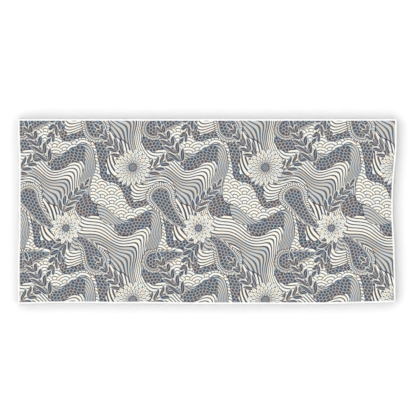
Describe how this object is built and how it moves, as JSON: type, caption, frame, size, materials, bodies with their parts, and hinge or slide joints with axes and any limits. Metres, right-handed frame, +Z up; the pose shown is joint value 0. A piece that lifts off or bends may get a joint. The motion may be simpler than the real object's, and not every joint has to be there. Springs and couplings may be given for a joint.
{
  "type": "beach towel",
  "caption": "Flat rectangular terry towel with a printed velour face and a narrow turned hem, lying face up; its right end is drawn in a little at the middle.",
  "frame": {"origin": "middle of the towel's bounding box, on the surface that it lies on", "axes": "+X runs along the towel's length, towards the end that is drawn in at its middle; +Y runs across its width; +Z is up, out of the printed face"},
  "size_m": [1.524, 0.7444, 0.0046],
  "materials": {
    "velour": "sheared cotton velour, printed all over in slate, plum and blue-grey on cream, with a plain white hem; matt with a soft sheen"
  },
  "bodies": {
    "root": {"towel": "velour"}
  },
  "joints": []
}
